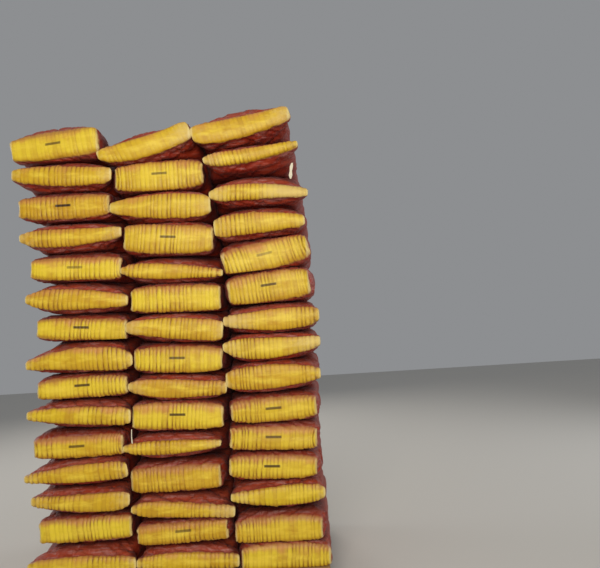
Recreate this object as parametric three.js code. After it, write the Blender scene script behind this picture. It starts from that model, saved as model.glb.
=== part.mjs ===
// A stack of fifty-kilogram woven plastic sacks, three columns side by side and fifteen
// rows high, laid head to tail on a wooden pallet. Millimetres, +Z up, the sack ends that
// face the viewer look towards -Y.
import * as THREE from "three";

// Pallet: three bearers across the depth, boards above and below them.
const palletWidth = 1520;
const palletDepth = 900;
const bearerWidth = 70;
const bearerHeight = 90;
const boardThickness = 22;
const deckBoardWidth = 100;
const deckBoards = 7;
const footBoardWidth = 90;
const footBoards = 5;
const bearerSpots = [-690, 0, 690];

// Sacks: one is as long as the stack is deep. The base end is a folded block bottom, the
// mouth end is gathered and sewn, and it reaches a little further out.
const sackLength = 860;
const mouthReach = 22;
const seat = 0.15; // each sack stays this far inside its two beds
const baseShoulder = 85; // from the base face to the full section
const mouthShoulder = 150; // from the sewn mouth to the full section
const bulgeStart = 85; // behind this a sack bulges sideways, until it meets its neighbours
const bulgeEnd = 240;
// Across half a section: where its corners lie, as shares of its half width.
const across = [1, 0.985, 0.93, 0.75, 0.4, 0, -0.4, -0.75, -0.93, -0.985];
const around = 2 * across.length;

// The three columns: where each stands, the half width of a sack in its middle, and its
// rows from the pallet upwards. Each row gives the kind of the front end (B base, M mouth),
// its left and right edge from the column's middle, its bottom and top above the pallet,
// and its tilt in degrees, right edge up. A mouth is thinner towards both sides: for it the
// row goes on with its thickness at the left and at the right edge as a share, the place
// where it is thickest, from -1 at the left to 1, and the rise of its middle over its sides.
const columns = [
  {
    name: "left",
    x: -500,
    half: 238,
    rows: [
      ["M", -285, 268, 22, 128, -1.2, 0.59, 0.76, 0.05, -4],
      ["B", -229, 244, 187, 290, 1.6],
      ["M", -250, 255, 333, 433, -1, 0.42, 0.62, 0.55, -7],
      ["M", -281, 250, 483, 580, 2.9, 0.45, 0.88, 0.35, 5],
      ["B", -243, 220, 610, 712, 0.6],
      ["M", -258, 276, 776, 868, -2.8, 0.51, 0.9, 0.35, -4],
      ["B", -208, 259, 914, 1011, 0.4],
      ["M", -256, 297, 1049, 1168, -0.1, 0.48, 0.7, 0.57, 18],
      ["B", -204, 265, 1210, 1312, -3.6],
      ["M", -241, 290, 1360, 1468, -3.6, 0.4, 0.52, -0.39, 2],
      ["B", -224, 252, 1525, 1630, -2.1],
      ["M", -267, 269, 1694, 1785, 0.4, 0.51, 0.68, -0.44, -8],
      ["B", -270, 207, 1852, 1955, -0.6],
      ["M", -291, 233, 2011, 2109, -3.6, 0.7, 0.74, 0, -6],
      ["B", -307, 158, 2174, 2300, 5.1],
    ],
  },
  {
    name: "middle",
    x: 0,
    half: 238,
    rows: [
      ["M", -231, 288, 24, 114, -1.7, 0.61, 0.85, -0.24, 4],
      ["B", -224, 236, 160, 254, 1.5],
      ["M", -244, 281, 284, 364, -4.1, 0.34, 0.69, -0.58, 2],
      ["B", -246, 212, 416, 531, 0.5],
      ["M", -271, 229, 602, 676, 0.1, 0.5, 0.48, -0.37, -8],
      ["B", -222, 244, 725, 851, -2.9],
      ["M", -233, 274, 883, 974, -3.8, 0.56, 0.68, -0.24, -14],
      ["B", -200, 254, 1020, 1128, -3],
      ["M", -230, 271, 1181, 1290, -5.6, 0.52, 0.68, 0.23, 4],
      ["B", -204, 262, 1324, 1450, -1.3],
      ["M", -245, 285, 1490, 1572, -4.9, 0.36, 0.38, -0.44, 5],
      ["B", -224, 241, 1632, 1762, -3.7],
      ["M", -285, 240, 1802, 1935, -1.8, 0.35, 0.55, 0.33, 0],
      ["B", -259, 204, 1966, 2099, 0.3],
      ["M", -336, 152, 2131, 2234, 11.3, 0.6, 0.82, -0.12, -23],
    ],
  },
  {
    name: "right",
    x: 490,
    half: 230,
    rows: [
      ["B", -191, 256, 2, 115, -1],
      ["B", -218, 224, 134, 245, -1.3],
      ["M", -228, 249, 315, 412, 0.5, 0.43, 0.56, 0.46, -9],
      ["B", -227, 215, 456, 556, -2.8],
      ["B", -217, 224, 596, 701, -2.8],
      ["B", -205, 231, 735, 847, 1.4],
      ["M", -218, 264, 901, 1022, 1.2, 0.55, 0.43, -0.27, -1],
      ["M", -226, 272, 1054, 1160, 0.3, 0.52, 0.54, -0.41, -20],
      ["M", -218, 277, 1194, 1304, 0.5, 0.4, 0.62, 0.29, -8],
      ["B", -185, 235, 1354, 1485, 4.4],
      ["B", -203, 237, 1521, 1643, 7.8],
      ["M", -239, 232, 1695, 1808, 1.4, 0.75, 0.45, -0.53, 8],
      ["M", -256, 258, 1870, 1958, -1.4, 0.45, 0.42, -0.5, 5],
      ["M", -276, 221, 2069, 2145, 6.3, 0.47, 0.42, -0.55, -9],
      ["M", -330, 183, 2199, 2304, 9.1, 0.83, 0.63, -0.5, -22],
    ],
  },
];

const slopeOf = (degrees) => Math.tan((degrees * Math.PI) / 180);
const smooth = (t) => {
  const u = Math.min(Math.max(t, 0), 1);
  return u * u * (3 - 2 * u);
};
const mix = (a, b, t) => a + (b - a) * t;

function endOf([kind, left, right, bottom, top, tilt, thinLeft = 1, thinRight = 1, peak = 0, bow = 0]) {
  const slope = slopeOf(tilt);
  return { kind, middle: (left + right) / 2, half: (right - left) / 2, bottom, top, slope, thinLeft, thinRight, peak, bow };
}

// Where an end's middle line lies at x, and half its thickness there.
function spanOf(end, x) {
  const u = Math.min(Math.max((x - end.middle) / end.half, -1), 1);
  const line = (end.bottom + end.top) / 2 + end.slope * (x - end.middle) - end.bow * u * u;
  const side = u < end.peak ? (end.peak - u) / (end.peak + 1) : (u - end.peak) / (1 - end.peak);
  const share = mix(1, u < end.peak ? end.thinLeft : end.thinRight, side ** 1.6);
  return { line, half: (share * (end.top - end.bottom)) / 2 };
}

// The beds of a column: the surfaces that its sacks press flat between them. One lies
// between each two rows, near the underside of the upper one, and takes part of their tilt.
// Nothing presses on the top sack, so it stays round there.
function bedsOf(rows) {
  const beds = [{ z: 0, slope: 0 }];
  for (let i = 1; i < rows.length; i++) {
    const lower = endOf(rows[i - 1]);
    const upper = endOf(rows[i]);
    const share = upper.kind === "B" ? 0.8 : 0.6;
    beds.push({ z: mix(lower.top, upper.bottom, share), slope: 0.2 * (lower.slope + upper.slope) });
  }
  const last = endOf(rows[rows.length - 1]);
  beds.push({ z: last.top + (last.kind === "B" ? 55 : 75), slope: 0.5 * last.slope, dome: 34 });
  return beds;
}

// The far end of a sack can't be seen: it is the other kind of end, with small shifts of
// its own, and it sits between the same two beds.
function farEnd(front, below, above, row, column) {
  const wander = Math.sin(row * 2.4 + column * 1.7);
  const kind = front.kind === "B" ? "M" : "B";
  const thickness = above.z - below.z;
  return {
    kind,
    middle: front.middle * 0.4 + 9 * wander,
    half: (kind === "B" ? 228 : 241) * (column === 2 ? 0.96 : 1),
    bottom: below.z + (kind === "B" ? 0.06 : 0.19) * thickness,
    top: above.z - (kind === "B" ? 0.24 : 0.2) * thickness,
    slope: slopeOf(1.5 * Math.sin(row * 3.1 + column)),
    thinLeft: kind === "B" ? 1 : 0.55 + 0.15 * Math.sin(row * 1.3 + column * 2.1),
    thinRight: kind === "B" ? 1 : 0.55 + 0.15 * Math.sin(row * 2.9 + column * 1.2),
    peak: kind === "B" ? 0 : 0.35 * Math.sin(row * 1.7 + column),
    bow: kind === "B" ? 0 : 8 * Math.sin(row * 2.2 + column * 3.1),
  };
}

// Where the middle of a sack's body lies: between its own end and those next to it.
function bodyMiddles(rows) {
  const middles = rows.map((row) => endOf(row).middle);
  const last = rows.length - 1;
  return middles.map((m, r) => (middles[Math.max(r - 1, 0)] + m + middles[Math.min(r + 1, last)]) / 3);
}

// The wall in which two neighbouring columns meet, as a function of the height: half way
// between the flanks of the two.
function wallBetween(one, other) {
  const flankOf = (column, side) => {
    const beds = bedsOf(column.rows);
    const heights = column.rows.map((_, r) => (beds[r].z + beds[r + 1].z) / 2);
    const flanks = bodyMiddles(column.rows).map((m) => column.x + m + side * column.half);
    return (z) => {
      const r = Math.min(Math.max(heights.findIndex((h) => h > z), 1), heights.length - 1);
      const above = z > heights[heights.length - 1] ? heights.length - 1 : r;
      const t = Math.min(Math.max((z - heights[above - 1]) / (heights[above] - heights[above - 1]), 0), 1);
      return mix(flanks[above - 1], flanks[above], t);
    };
  };
  const left = flankOf(one, 1);
  const right = flankOf(other, -1);
  return (z) => (left(z) + right(z)) / 2;
}

// One sack: sections along its length, each a rounded box or lens between its two beds and
// its two walls. On a side without a neighbour there is no wall.
function sackGeometry(front, back, below, above, bodyMiddle, bodyHalf, setBack, leftWall, rightWall) {
  const length = sackLength + mouthReach;
  const start = setBack - (front.kind === "M" ? mouthReach : 0);
  const depthOf = (end) => (end.kind === "B" ? baseShoulder : mouthShoulder);
  const fractions = [0, 0.12, 0.4, 1];
  const stations = [
    ...fractions.map((f) => f * depthOf(front)),
    bulgeEnd,
    length - bulgeEnd,
    ...fractions.map((f) => length - f * depthOf(back)).reverse(),
  ];
  const middleHeight = (below.z + above.z) / 2;
  const reach = 3; // how far a flank would go through its wall if it weren't there
  const wide = {
    left: leftWall ? Math.max(bodyHalf, bodyMiddle - leftWall(middleHeight) + reach) : bodyHalf,
    right: rightWall ? Math.max(bodyHalf, rightWall(middleHeight) - bodyMiddle + reach) : bodyHalf,
  };
  const points = [];
  for (const along of stations) {
    const nearFront = along < length / 2;
    const end = nearFront ? front : back;
    const fromEnd = nearFront ? along : length - along;
    const t = fromEnd / depthOf(end);
    const swell = end.kind === "B" ? Math.sqrt(smooth(t)) : smooth(0.1 + 0.9 * t);
    const grown = end.kind === "M" && t === 0 ? 0 : swell;
    const middle = mix(end.middle, bodyMiddle, smooth(t));
    const half = mix(end.half, bodyHalf, smooth(t * 1.3));
    const power = mix(end.kind === "B" ? 10 : 6, 4.2, smooth(t));
    const bulge = smooth((fromEnd - bulgeStart) / (bulgeEnd - bulgeStart));
    for (let k = 0; k < around; k++) {
      const upper = k < across.length;
      const u = upper ? across[k] : -across[k - across.length];
      const v = (upper ? 1 : -1) * (1 - Math.abs(u) ** power) ** (1 / power);
      const h = 0.5 + 0.5 * Math.sign(v) * Math.min(1, 1.05 * Math.abs(v));
      const span = spanOf(end, end.middle + end.half * u);
      const heightAt = (x) => {
        const line = span.line + end.slope * (x - middle - end.half * u);
        const bedLow = below.z + below.slope * x + seat;
        const bedHigh = above.z + above.slope * x - seat - (above.dome ?? 0) * u * u;
        const low = mix(line - span.half, bedLow, grown);
        const high = mix(line + span.half, bedHigh, grown);
        return Math.min(Math.max(mix(low, high, h), bedLow), bedHigh);
      };
      const level = middle + half * u;
      const z = heightAt(level);
      const leaning = level - 1.5 * end.slope * (z - span.line) * (1 - smooth(t));
      let walled = middle + (u < 0 ? wide.left : wide.right) * u;
      if (leftWall) walled = Math.max(walled, leftWall(z) + 1.5);
      if (rightWall) walled = Math.min(walled, rightWall(z) - 1.5);
      const x = mix(leaning, walled, bulge);
      points.push([x, start + along, heightAt(x)]);
    }
  }
  const rings = stations.length;
  const faces = [];
  for (let r = 0; r < rings - 1; r++) {
    for (let k = 0; k < around; k++) {
      const a = r * around + k;
      const b = r * around + ((k + 1) % around);
      faces.push([a, b + around, b], [a, a + around, b + around]);
    }
  }
  // Each end is closed by a slightly domed face.
  for (const [ring, dome] of [[0, -7], [rings - 1, 7]]) {
    const first = ring * around;
    const centre = new THREE.Vector3();
    for (let k = 0; k < around; k++) centre.add(new THREE.Vector3(...points[first + k]));
    centre.divideScalar(around);
    points.push([centre.x, centre.y + dome, centre.z]);
    for (let k = 0; k < around; k++) {
      const a = first + k;
      const b = first + ((k + 1) % around);
      faces.push(ring === 0 ? [a, b, points.length - 1] : [b, a, points.length - 1]);
    }
  }
  const geometry = new THREE.BufferGeometry();
  geometry.setAttribute("position", new THREE.Float32BufferAttribute(points.flat(), 3));
  geometry.setIndex(faces.flat());
  geometry.computeVertexNormals();
  return geometry;
}

function piece(name, geometry, material, x = 0, y = 0, z = 0) {
  const mesh = new THREE.Mesh(geometry, material);
  mesh.name = name;
  mesh.position.set(x, y, z);
  return mesh;
}

const wovenSack = () => new THREE.MeshStandardMaterial({ color: 0x6e1f2a, roughness: 0.42, metalness: 0 });
const sawnBoard = () => new THREE.MeshStandardMaterial({ color: 0xb48a5a, roughness: 0.85, metalness: 0 });

const stack = new THREE.Group();

// The pallet. Foot boards lie on the ground, bearers stand on them, and the deck boards
// cross the bearers with even gaps.
const pallet = new THREE.Group();
const palletHeight = 2 * boardThickness + bearerHeight;
const spread = (count, width, i) => -palletDepth / 2 + width / 2 + (i * (palletDepth - width)) / (count - 1);
for (let i = 0; i < footBoards; i++) {
  const board = new THREE.BoxGeometry(palletWidth, footBoardWidth, boardThickness);
  pallet.add(piece(`foot_board_${i + 1}`, board, sawnBoard(), 0, spread(footBoards, footBoardWidth, i), boardThickness / 2));
}
["left", "middle", "right"].forEach((side, i) => {
  const bearer = new THREE.BoxGeometry(bearerWidth, palletDepth, bearerHeight);
  pallet.add(piece(`bearer_${side}`, bearer, sawnBoard(), bearerSpots[i], 0, boardThickness + bearerHeight / 2));
});
for (let i = 0; i < deckBoards; i++) {
  const board = new THREE.BoxGeometry(palletWidth, deckBoardWidth, boardThickness);
  const z = palletHeight - boardThickness / 2;
  pallet.add(piece(`deck_board_${i + 1}`, board, sawnBoard(), 0, spread(deckBoards, deckBoardWidth, i), z));
}
pallet.position.set(-20, 0, 0);
stack.add(pallet);

// The sacks, column by column and row by row, on the pallet.
const load = new THREE.Group();
load.position.set(0, -sackLength / 2, palletHeight);
const walls = [wallBetween(columns[0], columns[1]), wallBetween(columns[1], columns[2])];
columns.forEach((column, c) => {
  const beds = bedsOf(column.rows);
  const bodies = bodyMiddles(column.rows);
  const leftWall = c > 0 ? (z) => walls[c - 1](z) - column.x : null;
  const rightWall = c < 2 ? (z) => walls[c](z) - column.x : null;
  const pile = new THREE.Group();
  pile.position.x = column.x;
  column.rows.forEach((row, r) => {
    const front = endOf(row);
    const back = farEnd(front, beds[r], beds[r + 1], r, c);
    const setBack = 6 * Math.sin(r * 1.9 + c * 2.3);
    const between = [beds[r], beds[r + 1]];
    const shape = sackGeometry(front, back, ...between, bodies[r], column.half, setBack, leftWall, rightWall);
    pile.add(piece(`sack_${column.name}_row_${String(r + 1).padStart(2, "0")}`, shape, wovenSack()));
  });
  load.add(pile);
});
stack.add(load);

// The origin is under the middle of the whole stack, on the ground.
const object = new THREE.Group();
object.add(stack);
object.updateMatrixWorld(true);
const box = new THREE.Box3().setFromObject(object, true);
stack.position.set(-(box.min.x + box.max.x) / 2, -(box.min.y + box.max.y) / 2, -box.min.z);

export default object;
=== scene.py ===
"""Filled sacks stacked three columns wide and fifteen rows high on a wooden pallet.

Lengths in the sections are in millimetres, as the sacks and boards are measured, and go
into Blender in metres.
"""
import math

import bmesh
import bpy
import numpy as np
from mathutils import Matrix, Vector


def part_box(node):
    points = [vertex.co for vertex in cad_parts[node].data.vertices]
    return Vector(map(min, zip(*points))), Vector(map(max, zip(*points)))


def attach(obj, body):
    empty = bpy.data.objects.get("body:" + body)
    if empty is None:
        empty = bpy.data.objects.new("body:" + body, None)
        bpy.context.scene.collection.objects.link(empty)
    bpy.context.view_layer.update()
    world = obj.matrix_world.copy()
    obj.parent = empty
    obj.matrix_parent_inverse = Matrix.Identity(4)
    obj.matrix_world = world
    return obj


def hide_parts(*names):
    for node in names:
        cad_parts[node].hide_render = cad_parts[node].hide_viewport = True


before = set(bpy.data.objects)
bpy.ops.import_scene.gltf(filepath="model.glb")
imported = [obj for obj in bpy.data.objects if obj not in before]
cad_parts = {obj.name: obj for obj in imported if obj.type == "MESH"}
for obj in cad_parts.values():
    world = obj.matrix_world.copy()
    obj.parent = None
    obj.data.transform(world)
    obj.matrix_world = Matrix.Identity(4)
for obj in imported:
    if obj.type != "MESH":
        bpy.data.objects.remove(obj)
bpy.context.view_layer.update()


def linear(hex_colour):
    """An sRGB hex colour as Blender's linear one."""
    parts = [int(hex_colour[i : i + 2], 16) / 255 for i in (1, 3, 5)]
    return tuple(c / 12.92 if c <= 0.04045 else ((c + 0.055) / 1.055) ** 2.4 for c in parts) + (1.0,)


def new_material(name, constants):
    """A material with these values on its shader's sockets: the material, tree and shader."""
    material = bpy.data.materials.new(name)
    material.use_nodes = True
    tree = material.node_tree
    tree.nodes.clear()
    shader = tree.nodes.new("ShaderNodeBsdfPrincipled")
    output = tree.nodes.new("ShaderNodeOutputMaterial")
    tree.links.new(shader.outputs["BSDF"], output.inputs["Surface"])
    for socket, value in constants.items():
        shader.inputs[socket].default_value = value
    return material, tree, shader


def add_node(tree, kind, inputs=(), out=0, **settings):
    """Adds a node and returns one of its outputs. A socket given as an input is linked.

    The inputs are a dictionary, or else they are in the node's own order.
    """
    node = tree.nodes.new(kind)
    for name, value in settings.items():
        setattr(node, name, value)
    for key, value in inputs.items() if isinstance(inputs, dict) else enumerate(inputs):
        if isinstance(value, bpy.types.NodeSocket):
            tree.links.new(value, node.inputs[key])
        else:
            node.inputs[key].default_value = value
    return node.outputs[out]


def remap(tree, value, *ends):
    """A value read between two ends, as 0 to 1 or else as what two more numbers give there."""
    return add_node(tree, "ShaderNodeMapRange", [value, *ends])


def calculate(tree, operation, *values, **settings):
    """What an operation of the math node makes of its values."""
    return add_node(tree, "ShaderNodeMath", values, operation=operation, **settings)


def blend(tree, share, under, over):
    """One colour laid over another by a share. Each is a socket or an sRGB hex colour."""
    under, over = (linear(tone) if isinstance(tone, str) else tone for tone in (under, over))
    return add_node(tree, "ShaderNodeMix", {0: share, 6: under, 7: over}, out=2, data_type="RGBA")


def noise(tree, place, scale, detail, roughness=0.5, distortion=0.0):
    """Noise at a place, with this many lumps to a metre, more or less."""
    return add_node(tree, "ShaderNodeTexNoise", {
        "Vector": place, "Scale": scale, "Detail": detail, "Roughness": roughness,
        "Distortion": distortion,
    })


# Pallet. Foot boards, three bearers across the depth and seven deck boards, all rough sawn
# from softwood and nailed together. The wood has gone grey-brown, and its edges are worn.

# Rough sawn softwood: dry and without gloss, with grain lines 4 to 9 mm apart along the
# board, saw marks every 6 mm across it, and grey dirt in patches.
sawn_softwood, tree, shader = new_material("rough sawn softwood", {"IOR": 1.5})
board_place = add_node(tree, "ShaderNodeUVMap", uv_map="grain")
drawn_out = add_node(tree, "ShaderNodeMapping", {"Vector": board_place, "Scale": (1.6, 60.0, 1.0)})
grain = noise(tree, drawn_out, 2.4, 6.0, distortion=0.8)
patches = noise(tree, board_place, 7.0, 4.0)
late_wood = remap(tree, grain, 0.3, 0.72)
wood_tone = blend(tree, late_wood, "#6f5236", "#b8925f")
dirt = remap(tree, patches, 0.45, 0.75, 0.0, 0.55)
dirty_wood = blend(tree, dirt, wood_tone, "#6d6459")
tree.links.new(dirty_wood, shader.inputs["Base Color"])
wood_rough = remap(tree, grain, 0.0, 1.0, 0.72, 0.92)
tree.links.new(wood_rough, shader.inputs["Roughness"])
saw_marks = add_node(
    tree, "ShaderNodeTexWave",
    {"Vector": board_place, "Scale": 26.0, "Distortion": 3.0, "Detail": 2.0}, out="Fac",
)
saw_bump = add_node(tree, "ShaderNodeBump", {"Height": saw_marks, "Strength": 0.25, "Distance": 0.0006})
grain_bump = add_node(
    tree, "ShaderNodeBump", {"Height": grain, "Normal": saw_bump, "Strength": 0.6, "Distance": 0.0012}
)
tree.links.new(grain_bump, shader.inputs["Normal"])

# Nail heads: bright drawn steel that has begun to rust.
nail_steel, tree, shader = new_material("drawn steel nail", {"Metallic": 0.9, "Roughness": 0.5})
rust = add_node(tree, "ShaderNodeTexNoise", {"Scale": 300.0, "Detail": 3.0})
nail_tone = blend(tree, rust, "#6b4630", "#8b8782")
tree.links.new(nail_tone, shader.inputs["Base Color"])


def board_mesh(name, low, high, lengthwise, nails, seed):
    """A sawn board in its node's box, with worn edges and the nails' heads on top."""
    rng = np.random.default_rng(seed)
    low, high = Vector(low), Vector(high)
    size, centre = high - low, (high + low) / 2
    shape = bmesh.new()
    bmesh.ops.create_cube(shape, size=1.0)
    bmesh.ops.scale(shape, vec=size, verts=shape.verts)
    cross = [e for e in shape.edges if abs((e.verts[0].co - e.verts[1].co)[lengthwise]) > 1e-6]
    bmesh.ops.subdivide_edges(shape, edges=cross, cuts=24, use_grid_fill=True)
    sharp = [e for e in shape.edges if len(e.link_faces) == 2 and e.calc_face_angle() > 0.5]
    bmesh.ops.bevel(shape, geom=sharp, offset=0.0028, segments=2, affect="EDGES", profile=0.6)
    phases = rng.random(6) * 6.28
    for vert in shape.verts:
        s = vert.co[lengthwise]
        wear = 0.0007 * sum(math.sin(rate * s + phase) for rate, phase in zip((31, 77, 190), phases))
        for axis in range(3):
            if axis != lengthwise and abs(vert.co[axis]) > size[axis] / 2 - 0.004:
                vert.co[axis] -= math.copysign(abs(wear) * 0.6, vert.co[axis])
    uv = shape.loops.layers.uv.new("grain")
    shift = Vector(rng.random(2) * 20)
    for face in shape.faces:
        face.smooth = False
        flat = max(range(3), key=lambda k: abs(face.normal[k]))
        others = [k for k in range(3) if k != flat]
        first = lengthwise if lengthwise in others else others[0]
        second = others[0] if others[1] == first else others[1]
        for loop in face.loops:
            loop[uv].uv = (loop.vert.co[first] + shift.x, loop.vert.co[second] + flat * 0.37 + shift.y)
    for x, y in nails:
        spot = Vector((x - centre.x, y - centre.y, size.z / 2 - 0.0002))
        made = bmesh.ops.create_cone(
            shape, cap_ends=True, segments=12, radius1=0.0046, radius2=0.0042, depth=0.0012,
            matrix=Matrix.Translation(spot),
        )
        for face in {f for v in made["verts"] for f in v.link_faces}:
            face.material_index = 1
    bmesh.ops.translate(shape, vec=centre, verts=shape.verts)
    mesh = bpy.data.meshes.new(name)
    shape.to_mesh(mesh)
    shape.free()
    mesh.materials.append(sawn_softwood)
    mesh.materials.append(nail_steel)
    return mesh


def new_object(name, data):
    """An object of the scene."""
    made = bpy.data.objects.new(name, data)
    bpy.context.scene.collection.objects.link(made)
    return made


def put(name, mesh, node):
    """Puts a mesh in the scene in place of its node's plain solid."""
    piece = new_object(name, mesh)
    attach(piece, "root")
    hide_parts(node)
    return piece


bearers = [f"bearer_{side}" for side in ("left", "middle", "right")]
foot_boards = [f"foot_board_{i}" for i in range(1, 6)]
deck_boards = [f"deck_board_{i}" for i in range(1, 8)]
bearer_xs = [(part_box(b)[0][0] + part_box(b)[1][0]) / 2 for b in bearers]
for i, node in enumerate(foot_boards + bearers + deck_boards):
    low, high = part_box(node)
    middle_y = (low[1] + high[1]) / 2
    nails = []
    if node in deck_boards:
        for k, x in enumerate(bearer_xs):
            # Two nails at each bearer, a little out of line.
            nails += [(x - 0.016, middle_y - 0.026 + 0.004 * (k - 1)), (x + 0.014, middle_y + 0.027)]
    lengthwise = 1 if node in bearers else 0
    put("sawn_" + node, board_mesh("sawn_" + node, low, high, lengthwise, nails, 40 + i), node)


# Sacks. Each is a tube of flat polypropylene tapes woven together and faced with a clear
# film, printed maroon with yellow at both ends. The base is folded to a block bottom and
# the mouth is gathered and sewn. They lie head to tail, pressed flat by those above.
sack_length = 860.0
mouth_reach = 22.0  # how much further out a mouth ends than a base
seat = 0.15  # half the gap between a sack and the next
wall_gap = 1.5  # from a flank to the wall between two columns
overfill = 3.0  # how much wider than its place a sack would be, so that it fills it
shoulder = {"B": 85.0, "M": 150.0}  # from an end's face to the full section
fold_radius = 9.0  # of the fold round a base's face
fold_inset = 7.0  # how much smaller that makes the face
bulge_start = 85.0  # behind this a sack bulges sideways, until it meets its neighbours
bulge_end = 240.0
squareness = {"B": 14.0, "M": 6.0, "body": 4.2, "filled": 11.0}  # of a section, a power
squarer_from = 110.0  # behind this a section grows squarer, and fills the stack
squarer_over = 150.0
bed_waves = ((4.5, 83.0), (3.0, 37.0))  # heights and lengths of what lies between two sacks
calm_over = 220.0  # so far from an end these waves are whole
free_flank = 36.0  # how much narrower a top sack is on a flank that nothing presses
touch = 45.0  # how near to the next column the cloth begins to be hidden
bed_share = {"B": 0.8, "M": 0.6}  # how high two sacks meet, between the lower end and the upper
top_rise = {"B": 55.0, "M": 75.0}  # how much a top sack's body rises over its end
top_dome = 34.0  # how much less it does so at its edges
corner_fall = 1.4  # how much more than its edges its corners fall away
domed_over = 90.0  # from its end to where it has this form

# Each row, from the pallet upwards, shows one end: B for a base, M for a mouth. Then come its
# left and right edge from the column's middle, its bottom and top above the pallet, its tilt
# in degrees, its thickness at the left and the right edge as a share, the place where it is
# thickest from -1 to 1, and the rise of its middle over its sides. A mouth ends with how far
# in from each side it has gone pale, and a base with its printed bar's strength.
columns = [
    {"side": "left", "x": -500.0, "half": 238.0, "rows": """
        M -285  268   21  120  -0.5  0.58 0.66  0.05   -1    8   8
        B -229  244  185  290   1.2  0.90 0.97  0.00   -4    0
        M -250  255  336  433  -1.8  0.50 0.70  0.55  -13   45  40
        M -281  250  482  578   2.6  0.42 0.86  0.35    1   35   8
        B -243  220  607  700   0.6  0.90 0.98  0.00   -5  0.8
        M -258  276  776  869  -3.5  0.52 0.93  0.35    2    8   8
        B -208  259  915 1010   0.9  0.74 0.80  0.00    5  0.9
        M -256  297 1046 1170  -0.1  0.42 0.55  0.57   20    8   8
        B -204  265 1209 1309  -4.1  0.74 0.96  0.00    1  0.9
        M -241  290 1358 1471  -3.8  0.42 0.47 -0.39    3    8   8
        B -224  252 1521 1624  -2.6  0.74 0.96  0.00   -4  0.55
        M -267  269 1689 1791   0.5  0.49 0.56 -0.44  -12   50  60
        B -270  207 1844 1954  -0.5  0.74 0.82  0.00   -8    1
        M -291  233 2009 2115  -3.3  0.62 0.75  0.00   -6    8  35
        B -307  158 2170 2299   5.2  0.78 0.99  0.00   -7  0.75
    """},
    {"side": "middle", "x": 0.0, "half": 238.0, "rows": """
        M -231  288   24  111  -1.4  0.59 0.81 -0.24    7    8   8
        B -224  236  158  248   2.1  0.87 1.00  0.00    0  0.7
        M -244  281  280  362  -4.5  0.45 0.68 -0.58    4    8 100
        B -246  212  411  519   0.9  0.97 0.98  0.00   -6    0
        M -271  229  597  675   0.3  0.42 0.42 -0.37   -7    8  40
        B -222  244  722  848  -2.8  0.86 0.74  0.00    1  0.9
        M -233  274  877  977  -4.0  0.42 0.67 -0.24   -9   60   8
        B -200  254 1012 1131  -3.0  0.74 0.74  0.00   -2  0.8
        M -230  271 1180 1294  -5.5  0.46 0.95  0.23    6   60   8
        B -204  262 1323 1451  -1.5  0.76 0.91  0.00    2    0
        M -245  285 1487 1570  -4.9  0.42 0.46 -0.44    3    8   8
        B -224  241 1628 1771  -4.4  0.74 0.74  0.00   -4  0.8
        M -285  240 1804 1940  -1.9  0.42 0.68  0.33    3    8   8
        B -259  204 1965 2111   0.0  0.74 0.74  0.00    0  0.7
        M -336  152 2131 2242  13.0  0.55 0.95 -0.12  -26    8  60
    """},
    {"side": "right", "x": 490.0, "half": 230.0, "rows": """
        B -191  256    1  114  -1.3  0.85 0.76  0.00    7    0
        B -218  224  133  244   0.1  0.74 0.81  0.00    8    0
        M -228  249  312  414   0.5  0.42 0.59  0.46   -6   65   8
        B -227  215  447  551  -2.9  0.78 0.75  0.00   -3  0.9
        B -217  224  592  695  -3.0  0.91 0.90  0.00   -2  0.8
        B -205  231  733  841   1.7  0.74 0.84  0.00   -2  0.8
        M -218  264  898 1025   1.4  0.61 0.47 -0.27    2    8   8
        M -226  272 1048 1165   0.7  0.42 0.47 -0.41  -19   60 115
        M -218  277 1190 1307   0.7  0.44 0.60  0.29   -8  125   8
        B -185  235 1346 1490   5.0  0.74 0.82  0.00    2  0.85
        B -203  237 1512 1645  10.2  0.81 0.77  0.00   -8  0.45
        M -239  232 1694 1811   1.7  0.85 0.51 -0.53   11    8   8
        M -256  258 1869 1964  -2.4  0.42 0.47 -0.50   15   70 230
        M -276  221 2066 2150   6.7  0.42 0.42 -0.55  -13   70   8
        M -330  183 2198 2319  10.0  0.79 0.63 -0.45  -18    8  60
    """},
]


def read_end(line):
    """One row of a column as its front end."""
    kind, *numbers = line.split()
    left, right, bottom, top, tilt, thin_left, thin_right, peak, bow, *rest = (float(n) for n in numbers)
    return {
        "kind": kind, "middle": (left + right) / 2, "half": (right - left) / 2,
        "bottom": bottom, "top": top, "slope": math.tan(math.radians(tilt)),
        "thin": (thin_left, thin_right), "peak": peak, "bow": bow,
        "pale": rest if kind == "M" else (0.0, 0.0), "bar": rest[0] if kind == "B" else 0.0,
    }


def smooth(t):
    """From 0 to 1 as t does, and level at both."""
    u = np.clip(t, 0.0, 1.0)
    return u * u * (3 - 2 * u)


def mix(a, b, t):
    """The place at a share t of the way from a to b."""
    return a + (b - a) * t


def span_of(end, x):
    """An end's middle line and half thickness at x."""
    u = np.clip((x - end["middle"]) / end["half"], -1, 1)
    line = (end["bottom"] + end["top"]) / 2 + end["slope"] * (x - end["middle"]) - end["bow"] * u * u
    on_left = u < end["peak"]
    side = np.where(on_left, (end["peak"] - u) / (end["peak"] + 1), (u - end["peak"]) / (1 - end["peak"]))
    share = mix(1, np.where(on_left, *end["thin"]), side ** (3 if end["kind"] == "B" else 2))
    return line, share * (end["top"] - end["bottom"]) / 2


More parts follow.
